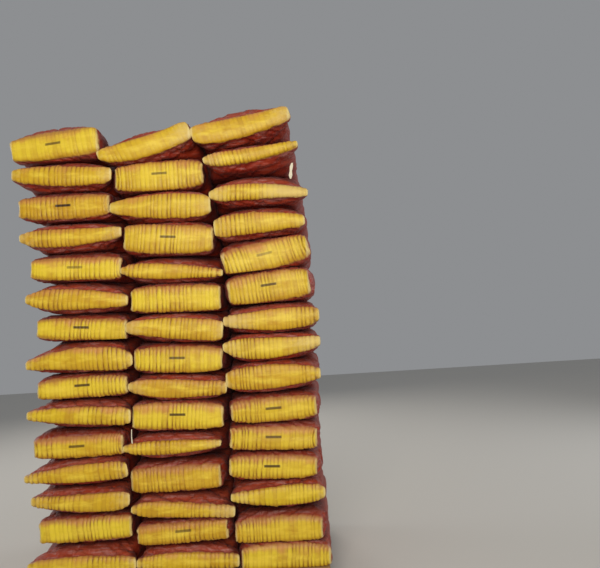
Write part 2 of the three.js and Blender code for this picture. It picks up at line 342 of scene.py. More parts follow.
def beds_of(rows):
    """The surfaces that a column's sacks press flat between them, one more than its rows."""
    beds = [{"z": 0.0, "slope": 0.0, "dome": 0.0}]
    for lower, upper in zip(rows[:-1], rows[1:]):
        height = mix(lower["top"], upper["bottom"], bed_share[upper["kind"]])
        beds.append({"z": height, "slope": 0.2 * (lower["slope"] + upper["slope"]), "dome": 0.0})
    last = rows[-1]
    height = last["top"] + top_rise[last["kind"]]
    beds.append({"z": height, "slope": 0.5 * last["slope"], "dome": top_dome})
    return beds


def far_end(front, below, above, row, column):
    """The end at the back of the stack, which is of the other kind."""
    kind = "M" if front["kind"] == "B" else "B"
    thickness = above["z"] - below["z"]
    end = {
        "kind": kind,
        "middle": front["middle"] * 0.4 + 9 * math.sin(row * 2.4 + column * 1.7),
        "half": (228 if kind == "B" else 241) * (0.96 if column == 2 else 1),
        "bottom": below["z"] + (0.06 if kind == "B" else 0.19) * thickness,
        "top": above["z"] - (0.24 if kind == "B" else 0.2) * thickness,
        "slope": math.tan(math.radians(1.5 * math.sin(row * 3.1 + column))),
    }
    if kind == "B":
        bar = 0.8 if (row + column) % 3 else 0.0
        return end | {"thin": (0.86, 0.86), "peak": 0.0, "bow": 0.0, "pale": (0.0, 0.0), "bar": bar}
    thin_left = 0.55 + 0.15 * math.sin(row * 1.3 + column * 2.1)
    thin_right = 0.55 + 0.15 * math.sin(row * 2.9 + column * 1.2)
    peak = 0.35 * math.sin(row * 1.7 + column)
    bow = 8 * math.sin(row * 2.2 + column * 3.1)
    return end | {
        "thin": (thin_left, thin_right), "peak": peak, "bow": bow, "pale": (45 + 3 * bow, 45 - 3 * bow),
        "bar": 0.0,
    }


for column in columns:
    column["rows"] = [read_end(line) for line in column["rows"].strip().split("\n")]
    column["beds"] = beds_of(column["rows"])
    middles = np.array([end["middle"] for end in column["rows"]])
    below_or_own, above_or_own = np.append(middles[0], middles[:-1]), np.append(middles[1:], middles[-1])
    column["bodies"] = (below_or_own + middles + above_or_own) / 3
    heights = np.array([bed["z"] for bed in column["beds"]])
    column["heights"] = (heights[:-1] + heights[1:]) / 2


def wall_between(one, other):
    """The wall in which two columns meet, as a function of the height: half way between them."""
    left_flanks = one["x"] + one["bodies"] + one["half"]
    right_flanks = other["x"] + other["bodies"] - other["half"]

    def wall(z):
        return (np.interp(z, one["heights"], left_flanks) + np.interp(z, other["heights"], right_flanks)) / 2

    return wall


def waves(rng, count, shortest, longest, squeeze=(1.0, 1.0)):
    """Random waves over a surface, for rumple: direction and length, phase, and size."""
    turn = rng.random(count) * math.pi
    length = shortest * (longest / shortest) ** rng.random(count)
    kx = 2 * math.pi * np.cos(turn) / length / squeeze[0]
    ky = 2 * math.pi * np.sin(turn) / length / squeeze[1]
    size = (length / longest) ** 0.6
    return kx, ky, rng.random(count) * 6.283, size / np.sqrt((size**2).sum())


def rumple(set_of_waves, a, b):
    """Smooth random heights about -1 to 1 at the places a, b."""
    total = np.zeros(np.broadcast(a, b).shape)
    for kx, ky, phase, size in zip(*set_of_waves):
        total += size * np.sin(kx * a + ky * b + phase)
    return total


# Across an end the cloth stands in upright pleats, 15 to 34 mm wide and uneven, with a
# furrow between each two. The mesh has a line of points along every furrow and crest.
pleat_count = 20
pleat_steps = np.array([0.0, 0.17, 0.5, 0.83])
pleat_profile = np.array([0.0, 0.72, 1.0, 0.72])
pleat_depth = {"B": 8.0, "M": 5.5}
pleat_reach = {"B": 30.0, "M": 60.0}  # from an end, where they fade out
pleat_level = 0.75  # the cloth's own level between a furrow at 0 and a crest at 1
flank_steps = 9  # points from the middle of a flank to its corner
across_points = pleat_count * len(pleat_steps) + 1
ring_points = 2 * across_points + 2 * (2 * flank_steps - 1)
# Distances of the mesh's rings from an end. Those behind the last fine one have half the
# points.
fine_rings = [0, 3, 7, 12, 18, 25, 33, 42, 52, 64]
coarse_rings = [76, 89, 103, 118, 134, 151, 169, 189, 211, 236, 264, 296, 332, 372, 415]
bar_height = 11.0  # the printed bar's middle above the end's
# An end's face closes in rings: the share of its height that is left, and how far out each is.
face_rings = {
    "B": [(0.93, 2.2), (0.78, 4.0), (0.55, 5.2), (0.3, 6.0), (0.12, 6.2)],
    "M": [(math.cos(a), 14 * math.sin(a)) for a in np.radians([16, 32, 48, 63, 76, 84])],
}
face_level = 0.8  # as the pleats' level, for the face

# Heights of the cloth's creases and waves, and where they are.
crease_height = 1.3
end_crease_height = 1.5  # on top of that, close to an end
end_crease_reach = 190.0
broad_height = 4.5  # on the flanks
rumple_height = 0.5
dent_height = 4.0  # on what faces up of a top sack
fold_room = (120.0, 70.0)  # a sack and an end must be so thick for a fold's whole depth


def pleats_of(rng, crisp):
    """Places across an end from right to left, and the crest's height and shade at each."""
    widths = rng.uniform(0.66, 1.34, pleat_count)
    furrows = np.append(0, np.cumsum(widths)) / widths.sum()
    places = (furrows[:-1, None] + np.diff(furrows)[:, None] * pleat_steps).ravel()
    strong = 0.5 + 0.5 * rng.random(pleat_count + 1)
    strong *= crisp * (0.66 + 0.34 * np.sin(6 * furrows + 6 * rng.random()))
    nearest = np.where(pleat_steps[None] < 0.5, strong[:-1, None], strong[1:, None])
    crests = (1 - nearest * (1 - pleat_profile)).ravel()
    shade = np.repeat(rng.random(pleat_count), len(pleat_steps))
    return 1 - 2 * np.append(places, 1.0), np.append(crests, 1 - strong[-1]), np.append(shade, 0.5)


def all_round(across, flank):
    """Values across the top and bottom, and up the flanks, in their order round a section."""
    return np.concatenate([flank, across, flank[:0:-1], flank, across[::-1], flank[:0:-1]])


def sack_parts(front, back, below, above, body, walls, set_back, rng, on_top, bed_wave, folds=None):
    """Points, the values that the cloth's material reads, and faces. Without folds it is smooth."""
    length = sack_length + mouth_reach
    start = set_back - (mouth_reach if front["kind"] == "M" else 0)
    near = np.array(fine_rings + coarse_rings)
    along = np.concatenate([near, length - near[::-1]]).astype(float)
    crisp = 0.35 if on_top else 1.0
    pleats = {True: pleats_of(rng, crisp), False: pleats_of(rng, crisp)}
    # How many waves, their shortest and longest, and how far they are drawn out.
    side_waves = waves(rng, 9, 40, 130, (2.2, 0.8))
    broad_waves = waves(rng, 6, 220, 520)
    fine_waves = waves(rng, 10, 18, 50, (1.6, 0.8))
    middle_height = (below["z"] + above["z"]) / 2
    wide = [body["half"], body["half"]]
    if walls[0]:
        wide[0] = max(wide[0], body["middle"] - walls[0](middle_height) + overfill)
    if walls[1]:
        wide[1] = max(wide[1], walls[1](middle_height) - body["middle"] + overfill)
    if on_top and not walls[0]:
        # The left column's top sack rises over the next one, which leaves its flank free.
        wide[1] = body["half"] - free_flank
    rings = []
    for number, d in enumerate(along):
        is_front = d < length / 2
        end = front if is_front else back
        kind = end["kind"]
        from_end = d if is_front else length - d
        t = from_end / shoulder[kind]
        rounding = 0.0
        if kind == "B":
            in_fold = max(0.0, 1 - from_end / fold_radius)
            rounding = fold_inset * (1 - math.sqrt(max(0.0, 1 - in_fold**2)))
        middle = mix(end["middle"], body["middle"], float(smooth(t)))
        half = mix(end["half"], body["half"], float(smooth(t * 1.3))) - rounding
        power = mix(squareness[kind], squareness["body"], float(smooth(t)))
        bulge = float(smooth((from_end - bulge_start) / (bulge_end - bulge_start)))
        calm = float(smooth(from_end / calm_over))
        y = start + d
        lift, lift_up = (
            sum(size * math.sin(y / long + phase) for (size, long), phase in zip(bed_waves, phases))
            for phases in (bed_wave[0:2], bed_wave[2:4])
        )
        lift, lift_up = lift * calm * bed_wave[4], lift_up * calm * bed_wave[5]

        # Places on a rounded box, closest together across its top and bottom. Towards a
        # neighbour the box grows squarer deep inside the stack, where no gap stays open.
        deep = float(smooth((from_end - squarer_from) / squarer_over))
        powers = [mix(power, squareness["filled"], deep) if wall else power for wall in walls]
        corners = [2 ** (-1 / p) for p in powers]
        steps = mix(pleats[True][0], pleats[False][0], d / length)
        own_power = np.where(steps > 0, powers[1], powers[0])
        u_top = steps * np.where(steps > 0, corners[1], corners[0])
        v_top = (1 - np.abs(u_top) ** own_power) ** (1 / own_power)
        v_left, v_right = (np.arange(flank_steps) / flank_steps * corner for corner in corners)
        u_left = (1 - v_left ** powers[0]) ** (1 / powers[0])
        u_right = (1 - v_right ** powers[1]) ** (1 / powers[1])
        u = np.concatenate([u_right, u_top, -u_left[:0:-1], -u_left, u_top[::-1], u_right[:0:-1]])
        v = np.concatenate([v_right, v_top, v_left[:0:-1], -v_left, -v_top[::-1], -v_right[:0:-1]])
        # The share of the section's height, which the flanks reach a little early.
        h = 0.5 + 0.5 * np.sign(v) * np.minimum(1, 1.05 * np.abs(v))
        # The corners fill up further back than the middle of an end.
        if kind == "B":
            grown = np.sqrt(smooth(t / (1 + 0.8 * smooth((np.abs(u) - 0.6) / 0.4))))
        else:
            late = t / (1 + 1.1 * smooth((np.abs(u) - 0.25) / 0.75))
            grown = smooth(0.1 + 0.9 * late) * (t > 0)
        span_line, span_half = span_of(end, end["middle"] + end["half"] * u)
        span_half = span_half - rounding

        # What the sack lies on, what lies on it, and its own cloth between them.
        def bed_low(x):
            return below["z"] + below["slope"] * x + seat + lift

        def bed_high(x):
            fall = above["dome"] * (u**2 + corner_fall * u**8)
            return above["z"] + above["slope"] * x - seat + lift_up - fall

        def height_at(x):
            line = span_line + end["slope"] * (x - middle - half * u)
            low = mix(line - span_half, bed_low(x), grown)
            high = mix(line + span_half, bed_high(x), grown)
            # A top sack's end is as high as it was seen, and only its body has the dome's form.
            unpressed = 1 - float(smooth(from_end / domed_over))
            most = bed_high(x) + (above["dome"] * (1 + corner_fall) * unpressed if on_top else 0)
            return np.clip(mix(low, high, h), bed_low(x), most)

        level = middle + half * u
        z = height_at(level)
        leaning = level - 1.5 * end["slope"] * (z - span_line) * (1 - float(smooth(t)))
        walled = middle + np.where(u < 0, wide[0], wide[1]) * u
        if walls[0]:
            walled = np.maximum(walled, walls[0](z) + wall_gap)
        if walls[1]:
            walled = np.minimum(walled, walls[1](z) - wall_gap)
        x = mix(leaning, walled, bulge)
        z = height_at(x)
        lean = leaning - level

        # Out from the section, and how level the cloth lies there.
        nx = np.roll(z, -1) - np.roll(z, 1)
        nz = -(np.roll(x, -1) - np.roll(x, 1))
        size = np.maximum(np.hypot(nx, nz), 1e-6)
        nx, nz = nx / size, nz / size
        flat = np.abs(nz)
        crest = all_round(pleats[is_front][1], np.full(flank_steps, 0.85))
        shade = all_round(pleats[is_front][2], np.full(flank_steps, 0.5))
        if folds is None:
            crest = np.full_like(x, face_level)
        # How far the cloth stands out: the pleats, the creases beside an end, broad waves on
        # the flanks, and a fine rumple all over.
        fade = math.exp(-((from_end / pleat_reach[kind]) ** 1.5))
        push = pleat_depth[kind] * fade * (crest - pleat_level) * flat
        steps_round = np.hypot(np.roll(x, -1) - x, np.roll(z, -1) - z)
        around = np.append(0, np.cumsum(steps_round)[:-1])
        flank = 1 - smooth((flat - 0.35) / 0.5)
        near_end = math.exp(-((from_end / end_crease_reach) ** 2))
        crease = 0.55 - np.abs(rumple(side_waves, around, y))
        deepest = crease_height + end_crease_height * near_end
        push = push + deepest * crease * (0.25 + 0.75 * flank) * min(1.0, from_end / 14)
        push = push + broad_height * rumple(broad_waves, around, y) * flank * calm
        push = push + rumple_height * rumple(fine_waves, around, y) * min(1.0, from_end / 10)
        if on_top:
            dents = rumple(broad_waves, x * 1.6, y * 1.3) - 0.8
            push = push + np.where(nz > 0, dent_height * dents * flat * calm, 0)
        py = np.full_like(x, y)
        if folds is None:
            push = 0.0
        else:
            # The folds that the cloth crumples into, less deep where the end is thin.
            out, along_fold, around_fold = folds[is_front][:, min(number, len(along) - 1 - number)]
            thick = np.minimum(1.0, (bed_high(x) - bed_low(x)) / fold_room[0])
            thick = thick * np.minimum(1.0, span_half * 2 / fold_room[1])
            thick = mix(thick, 1.0, np.clip(grown, 0, 1))
            push = push + out * thick
            py = py + along_fold * thick * (1 if is_front else -1)
            x, z = x - nz * around_fold * thick, z + nx * around_fold * thick
        px, pz = x + nx * push, z + nz * push
        pz = np.maximum(pz, bed_low(px))
        if not on_top:
            pz = np.minimum(pz, bed_high(px))
        if walls[0]:
            px = np.where(px < middle, np.maximum(px, np.minimum(x, walls[0](pz) + 1)), px)
        if walls[1]:
            px = np.where(px > middle, np.minimum(px, np.maximum(x, walls[1](pz) - 1)), px)
        # Where the cloth lies against the next column.
        against = np.zeros_like(px)
        for wall in walls:
            if wall:
                against = np.maximum(against, 1 - smooth(np.abs(wall(pz) - px) / touch))
        rings.append({
            "x": px, "y": py, "z": pz, "u": u, "around": around, "along": d, "from_end": from_end,
            "against": against, "crest": crest, "shade": shade, "end": end, "middle": middle,
            "lean": lean, "girth": steps_round.sum(),
        })

    points, values, starts, sizes = [], [], [], []
    bar_shift = {True: rng.uniform(-6, 6), False: rng.uniform(-6, 6)}
    tone = {True: rng.random(2), False: rng.random(2)}

    def store(ring, x, y, z, from_end):
        """Keeps a ring's points and values, or every second one where the mesh is coarse."""
        step = 1 if from_end <= fine_rings[-1] else 2
        end = ring["end"]
        ahead = end is front
        line, half_thick = span_of(end, x)
        off = x - end["middle"]
        # From -1 to 1 over the face, and on to -1.5 and 1.5 where the next sacks lie.
        off_line = np.abs(z - line)
        to_upper = above["z"] + above["slope"] * x - line
        to_lower = line - below["z"] - below["slope"] * x
        to_bed = np.where(z > line, to_upper, to_lower)
        beyond = (off_line - half_thick) / np.maximum(to_bed - half_thick, 5)
        rise = np.sign(z - line) * np.minimum(off_line / half_thick, 1 + 0.5 * np.clip(beyond, 0, 1))
        if on_top:
            rise = np.minimum(rise, 1)
        pale = np.maximum(end["pale"][0] - (end["half"] + off), end["pale"][1] - (end["half"] - off))
        starts.append(sum(sizes))
        points.append(np.stack([x, y, z], 1)[::step])
        sizes.append(len(points[-1]))
        is_mouth = 1.0 if end["kind"] == "M" else 0.0
        lengths = np.broadcast_arrays(
            ring["around"], ring["along"], ring["girth"], off - bar_shift[ahead], z - line - bar_height,
            from_end, end["half"] - np.abs(off), pale,
        )
        shares = np.broadcast_arrays(
            ring["crest"], rise, is_mouth, end["bar"], *tone[ahead], ring["shade"], ring["against"],
        )
        values.append(np.stack([*(np.array(lengths) / 1000), *shares], 1)[::step])

    def cap(ring, outward):
        """The rings that close an end, from its edge to its middle line."""
        end = ring["end"]
        made = []
        off = ring["x"] - ring["middle"]
        share = np.abs(ring["u"])
        over_line = ring["z"] - span_of(end, ring["x"])[0]
        for scale, out in face_rings[end["kind"]]:
            x = ring["middle"] + off * (1 - 0.04 * (1 - scale) * smooth((share - 0.86) / 0.14))
            x = x - ring["lean"] * (1 - scale)
            z = span_of(end, x)[0] + over_line * scale
            full = np.sqrt(np.clip(1 - share**2, 0, 1))
            upper = np.where(over_line > 0, 0.7, 1.0) if end["kind"] == "M" else 1.0
            ridge = (1.7 + 3.1 * scale) * upper * (ring["crest"] - face_level)
            ridge = ridge * smooth((1 - share) / 0.03)
            bulge = out * (0.35 + 0.65 * full) + ridge
            made.append((x, ring["y"] + outward * bulge, z, -out - (1 - scale) * 40))
        return made

    front_cap = cap(rings[0], -1.0)
    back_cap = cap(rings[-1], 1.0)
    for x, y, z, inside in reversed(front_cap):
        store(rings[0], x, y, z, inside)
    for ring in rings:
        store(ring, ring["x"], ring["y"], ring["z"], ring["from_end"])
    for x, y, z, inside in back_cap:
        store(rings[-1], x, y, z, inside)

    faces = {3: [], 4: []}

    def add_faces(r, rows, numbers):
        """Faces between two rings, from each corner's ring and its number round that ring."""
        numbers = np.stack(numbers, 1)
        size = np.array(sizes)[np.array(rows) + r]
        corners = np.array(starts)[np.array(rows) + r] + numbers % size
        on_tube = len(front_cap) <= r < len(front_cap) + len(rings) - 1
        faces[len(rows)].append((corners, numbers == size, np.full(corners.shape, on_tube)))

    for r in range(len(sizes) - 1):
        i = np.arange(min(sizes[r], sizes[r + 1]))
        if sizes[r] == sizes[r + 1]:
            add_faces(r, [0, 1, 1, 0], [i, i, i + 1, i + 1])
        elif sizes[r] > sizes[r + 1]:
            add_faces(r, [0, 1, 0], [2 * i, i, 2 * i + 1])
            add_faces(r, [0, 1, 1], [2 * i + 1, i, i + 1])
            add_faces(r, [0, 1, 0], [2 * i + 1, i + 1, 2 * i + 2])
        else:
            add_faces(r, [0, 1, 1], [i, 2 * i, 2 * i + 1])
            add_faces(r, [0, 1, 0], [i, 2 * i + 1, i + 1])
            add_faces(r, [0, 1, 1], [i + 1, 2 * i + 1, 2 * i + 2])
    # The innermost ring of each cap is zipped shut along the end's middle line.
    n, half_way = ring_points, ring_points // 2
    i = np.arange(half_way)
    strip = np.stack([i, i + 1, n - 1 - i, (n - i) % n], 1)[1:-1]
    tip = np.array([[0, 1, n - 1], [half_way, half_way + 1, half_way - 1]])
    for corners in (strip, strip[:, ::-1] + starts[-1], tip, tip[:, ::-1] + starts[-1]):
        plain = np.zeros(corners.shape, bool)
        faces[corners.shape[1]].append((corners, plain, plain))
    tube_starts = starts[len(front_cap) : len(front_cap) + len(rings)]
    return np.concatenate(points), np.concatenate(values), faces, tube_starts


# What the cloth's material reads at each point, after five columns for its two maps.
cloth_values = (
    "from_end", "from_side", "pale", "crest", "rise", "mouth", "bar", "warmth", "haze_amount", "pleat", "against",
)


def sack_mesh(name, parts, offset):
    """A Blender mesh of one sack, with the maps and values that its material reads."""
    points, values, faces, _ = parts
    places = (points + offset) / 1000
    totals = np.concatenate([np.full(len(group[0]), k) for k in (4, 3) for group in faces[k]])
    corners, closes, on_tube = (
        np.concatenate([group[part].ravel() for k in (4, 3) for group in faces[k]]) for part in range(3)
    )
    mesh = bpy.data.meshes.new(name)
    mesh.vertices.add(len(places))
    mesh.vertices.foreach_set("co", places.astype(np.float32).ravel())
    mesh.loops.add(len(corners))
    mesh.loops.foreach_set("vertex_index", corners.astype(np.int32))
    mesh.polygons.add(len(totals))
    mesh.polygons.foreach_set("loop_start", np.append(0, np.cumsum(totals)[:-1]).astype(np.int32))
    mesh.update(calc_edges=True)
    mesh.shade_smooth()
    tube_map, face_map = values[corners, 0:2], values[corners, 3:5]
    tube_map[:, 0] += np.where(closes, values[corners, 2], 0)
    for layer, uv in (("cloth", np.where(on_tube[:, None], tube_map, face_map)), ("face", face_map)):
        mesh.uv_layers.new(name=layer).data.foreach_set("uv", uv.astype(np.float32).ravel())
    for column, layer in enumerate(cloth_values, 5):
        attribute = mesh.attributes.new(layer, "FLOAT", "POINT")
        attribute.data.foreach_set("value", values[:, column].astype(np.float32))
    return mesh


# The folds. One plain sack at a time is cut 7% too large, held at both ends and blown up as
# cloth between two boards. What it crumples into there is laid over the stack's sacks.
boards_apart = 158.0
held_rim = 2.0  # the cloth is held this far from an end, and less and less over the next stretch
held_fade = 20.0
fold_depth = 11.0  # the deepest that a fold is laid over the stack's sacks
folds_end = 330.0  # from an end, where they begin to fade out towards the sack's middle
folds_fade = 90.0
swelling = (55.0, 10.0)  # what is wider than this, in mm and in points round, is no fold


def crumple(seed):
    """Moves of the cloth: its three directions, the rings from an end, the points round them."""
    rng = np.random.default_rng(seed)
    ends = [read_end("B -228 228 20 124 0 0.9 0.9 0 0 0"), read_end("M -257 257 34 126 0 0.5 0.5 0 0 0 0")]
    boards = [{"z": 0.0, "slope": 0.0, "dome": 0.0}, {"z": boards_apart, "slope": 0.0, "dome": 0.0}]
    body = {"middle": 0.0, "half": 238.0}
    parts = sack_parts(*ends, *boards, body, [None, None], 0.0, rng, False, [0.0] * 6)
    points, values, _, ring_starts = parts
    mesh = sack_mesh("crumpling", parts, np.zeros(3))
    sack = new_object("crumpling", mesh)
    from_end = values[:, 5 + cloth_values.index("from_end")] * 1000
    start = points.copy()
    x, y, z = points.T
    for axis in range(3):
        unrest = rumple(waves(rng, 8, 30, 120), x + z, y + 0.3 * z)
        start[:, axis] += np.where(from_end < 1, 0, 2.0 * unrest)
    mesh.vertices.foreach_set("co", (start / 1000).astype(np.float32).ravel())
    held = sack.vertex_groups.new(name="held")
    for point in np.flatnonzero(from_end < held_rim + held_fade):
        held.add([int(point)], float(min(1.0, 1 - (from_end[point] - held_rim) / held_fade)), "REPLACE")
    helpers = [sack]
    for height, order in ((-2, (0, 1, 2, 3)), (boards_apart + 2, (3, 2, 1, 0))):
        board = bpy.data.meshes.new("crumpling_board")
        corners = [(x, y, height / 1000) for x, y in ((-1, -1), (1, -1), (1, 2), (-1, 2))]
        board.from_pydata(corners, [], [order])
        helpers.append(new_object("crumpling_board", board))
        helpers[-1].modifiers.new("hold", "COLLISION")
        helpers[-1].collision.thickness_outer = 0.001
        helpers[-1].collision.cloth_friction = 8
    cloth = sack.modifiers.new("cloth", "CLOTH")
    for setting, value in {
        "quality": 5, "mass": 0.2, "air_damping": 4, "shrink_min": -0.07, "use_pressure": True,
        "tension_stiffness": 20, "compression_stiffness": 20, "bending_stiffness": 0.05,
        "uniform_pressure_force": 3, "vertex_group_mass": "held", "pin_stiffness": 5,
    }.items():
        setattr(cloth.settings, setting, value)
    cloth.settings.effector_weights.gravity = 0.0
    cloth.collision_settings.distance_min = 0.001
    cloth.collision_settings.use_self_collision = False
    for step in range(1, 21):
        bpy.context.scene.frame_set(step)
    settled = sack.evaluated_get(bpy.context.evaluated_depsgraph_get()).data
    places = np.zeros(3 * len(points), np.float32)
    settled.vertices.foreach_get("co", places)
    moved = places.reshape(-1, 3) * 1000 - points
    for helper in helpers:
        bpy.data.meshes.remove(helper.data)
    bpy.context.scene.frame_set(1)

    # The moves of each end's rings, outwards, along the sack away from the end, and around it.
    near = np.array(fine_rings + coarse_rings, float)
    found = {}
    for kind, rings in (("B", range(len(near))), ("M", range(2 * len(near) - 1, len(near) - 1, -1))):
        field = []
        for ring in rings:
            step = 1 if near[len(field)] <= fine_rings[-1] else 2
            own = slice(ring_starts[ring], ring_starts[ring] + ring_points // step)
            x, z = points[own, 0], points[own, 2]
            nx, nz = np.roll(z, -1) - np.roll(z, 1), np.roll(x, 1) - np.roll(x, -1)
            size = np.maximum(np.hypot(nx, nz), 1e-6)
            nx, nz = nx / size, nz / size
            dx, dy, dz = moved[own].T
            ways = np.stack([dx * nx + dz * nz, dy if kind == "B" else -dy, dz * nx - dx * nz])
            if step == 2:
                ways = np.stack([ways, (ways + np.roll(ways, -1, 1)) / 2], 2).reshape(3, -1)
            field.append(ways)
        field = np.stack(field, 1)
        # The cloth's wide swelling comes off, since the stack's own sacks have theirs.
        wide = np.exp(-0.5 * ((near[:, None] - near) / swelling[0]) ** 2) * np.gradient(near)
        wide /= wide.sum(1, keepdims=True)
        numbers, half_way = np.arange(ring_points), ring_points // 2
        apart = np.abs((numbers[:, None] - numbers + half_way) % ring_points - half_way)
        round_it = np.exp(-0.5 * (apart / swelling[1]) ** 2)
        round_it /= round_it.sum(1, keepdims=True)
        field = field - np.einsum("ij,ajk,kl->ail", wide, field, round_it)
        kept = 1 - smooth((near - folds_end) / folds_fade)
        found[kind] = fold_depth * np.tanh(field / fold_depth) * kept[None, :, None]
    return found


# Five sacks are crumpled, and they replace the empty folds set on the line before.
crumpled = [{kind: np.zeros((3, len(fine_rings + coarse_rings), ring_points)) for kind in "BM"}]
crumpled = [crumple(seed) for seed in range(5)]
across_mirror = (ring_points // 2 - np.arange(ring_points)) % ring_points
upright_mirror = -np.arange(ring_points) % ring_points


def folds_for(kind, rng):
    """One of the crumpled ends, turned over or mirrored by chance."""
    choice, mirror, turn = rng.random(3)
    field = crumpled[int(choice * len(crumpled))][kind]
    if mirror < 0.5:
        field = field[:, :, across_mirror] * np.array([1, 1, -1])[:, None, None]
    if turn < 0.5:
        field = field[:, :, upright_mirror] * np.array([1, 1, -1])[:, None, None]
    return field


# Woven polypropylene under a clear film: printed maroon, yellow at the ends, with a soft shine. Its tapes
# are 3 mm wide, so the weave shows close up only. Dust lies on what faces up, lightened with a painted
# sheen, the ridges of folds carry painted mauve highlights, and the pleats' furrows are darkened with
# painted shade.
woven_polypropylene, tree, shader = new_material("woven polypropylene, film faced", {
    "IOR": 1.49, "Specular IOR Level": 0.34, "Coat Weight": 0.07, "Coat Roughness": 0.3,
    "Sheen Weight": 0.06, "Sheen Roughness": 0.45, "Sheen Tint": linear("#f3c9d4"),
})
cloth_map = add_node(tree, "ShaderNodeUVMap", uv_map="cloth")
face_map = add_node(tree, "ShaderNodeUVMap", uv_map="face")
place = add_node(tree, "ShaderNodeTexCoord", out="Object")
blotches = noise(tree, place, 9.0, 5.0, roughness=0.6)
scuffs = noise(tree, place, 45.0, 6.0, roughness=0.65)
normal = add_node(tree, "ShaderNodeNewGeometry", out="Normal")
up = add_node(tree, "ShaderNodeSeparateXYZ", [normal], out="Z")
from_end, from_side, pale, crest, rise, mouth, bar_print, warmth, haze_amount, pleat, against = (
    add_node(tree, "ShaderNodeAttribute", attribute_name=value, out="Fac") for value in cloth_values
)

# The maroon print, worn lighter in patches. Reddish dust lies in patches on what faces up, and is lighter
# there also as a painted sheen.
worn_print = remap(tree, blotches, 0.35, 0.7)
maroon = blend(tree, worn_print, "#902410", "#a03618")
facing_up = remap(tree, up, 0.1, 0.85, 0.0, 0.4)
in_patches = remap(tree, scuffs, 0.35, 0.65, 0.35, 1.0)
dust_and_sheen_share = calculate(tree, "MULTIPLY", facing_up, in_patches)

# Folds run across a sack, and their crests are painted lighter mauve streaks, a painted glint, most of all
# close to the ends.
across_place = add_node(tree, "ShaderNodeMapping", {"Vector": place, "Scale": (0.7, 4.5, 6.0)})
across_folds = noise(tree, across_place, 6.0, 4.0, roughness=0.55, distortion=0.4)
by_the_face = remap(tree, from_end, 0.16, 0.02, -0.08, 0.06)
across_folds_by_face = calculate(tree, "ADD", across_folds, by_the_face)
painted_glint_share = remap(tree, across_folds_by_face, 0.5, 0.7, 0.0, 0.55)

# Beside a face the ridges of thin folds, about 12 mm apart, carry a painted mauve highlight.
ridges = noise(tree, across_place, 14.0, 2.0)
painted_ridge_highlight = remap(tree, ridges, 0.52, 0.66, 0.0, 0.6)
beside_face = remap(tree, from_end, 0.11, 0.05)
painted_ridge_highlight = calculate(tree, "MULTIPLY", painted_ridge_highlight, beside_face)

# Painted shade: close to the ends the print is darkened where a sack presses on the next one, on the
# underside of its ends and on what faces down, and all along a sack where it lies against the next column.
painted_shade_above = remap(tree, rise, 1.08, 1.42, 0.0, 0.85)
painted_shade_below = remap(tree, rise, -1.24, -1.46, 0.0, 0.45)
painted_underside_shade = remap(tree, up, -0.1, -0.75, 0.0, 0.12)
near_face = remap(tree, from_end, 0.32, 0.16)
painted_gap_shade = calculate(tree, "MULTIPLY", against, 0.85)
painted_shade = painted_shade_above
for other, how in (
    (painted_shade_below, "MAXIMUM"), (painted_underside_shade, "MAXIMUM"), (near_face, "MULTIPLY"), (painted_gap_shade, "MAXIMUM"),
):
    painted_shade = calculate(tree, how, painted_shade, other)

# What lies over the maroon, from the lowest: its share and its colour.
for share, tone in (
    (dust_and_sheen_share, "#a85e42"), (painted_glint_share, "#9a5648"), (painted_ridge_highlight, "#a87470"), (painted_shade, "#3c0e08"),
):
    maroon = blend(tree, share, maroon, tone)

# The yellow print. Each end has its own warmth, with golden patches, and some pleats are
# darker than the others.
yellow_base = blend(tree, warmth, "#e0c62c", "#c79c1a")
yellow_mouth = blend(tree, warmth, "#d2b31c", "#c69a18")
yellow = blend(tree, mouth, yellow_base, yellow_mouth)
golden = remap(tree, blotches, 0.5, 0.68, 0.0, 0.7)
darker_pleat = remap(tree, pleat, 0.5, 0.0, 0.0, 0.5)

# Painted highlight: pale glare on the film, in streaks 50 to 200 mm long along the middle of a face.
streak_place = add_node(tree, "ShaderNodeMapping", {"Vector": place, "Scale": (1.0, 1.0, 3.2)})
streaks = noise(tree, streak_place, 8.0, 5.0, roughness=0.6)
painted_glare = remap(tree, streaks, 0.44, 0.64)
off_middle = calculate(tree, "ABSOLUTE", rise)
glare_band = remap(tree, off_middle, 0.85, 0.2, 0.0, 0.8)
painted_glare = calculate(tree, "MULTIPLY", painted_glare, glare_band)

# The furrows are darkened with painted shade, deepest and darkest towards the folds at the top and the
# bottom.
near_fold = remap(tree, off_middle, 0.2, 0.85, 0.6, 1.8)
at_fold = remap(tree, off_middle, 0.6, 1.0, 0.0, 0.1)
lower_crest = calculate(tree, "SUBTRACT", crest, at_fold)
painted_furrow_shade = remap(tree, lower_crest, 0.0, 0.98, 1.0, 0.0)
painted_furrow_shade = calculate(tree, "MULTIPLY", painted_furrow_shade, near_fold, use_clamp=True)
lower_fold = remap(tree, rise, -0.6, -1.0, 0.0, 0.6)

# Towards the top the yellow has a peach haze, partly dust and partly a painted highlight where the top
# catches the light, and it differs from end to end.
ragged = remap(tree, blotches, 0.3, 0.7, -0.45, 0.45)
ragged_rise = calculate(tree, "ADD", rise, ragged)
haze = remap(tree, ragged_rise, 0.4, 1.05, 0.0, 0.75)
haze_share = remap(tree, haze_amount, 0.0, 1.0, 0.5, 1.0)
haze = calculate(tree, "MULTIPLY", haze, haze_share)
upper_fold = remap(tree, rise, 0.8, 1.02, 0.0, 0.45)

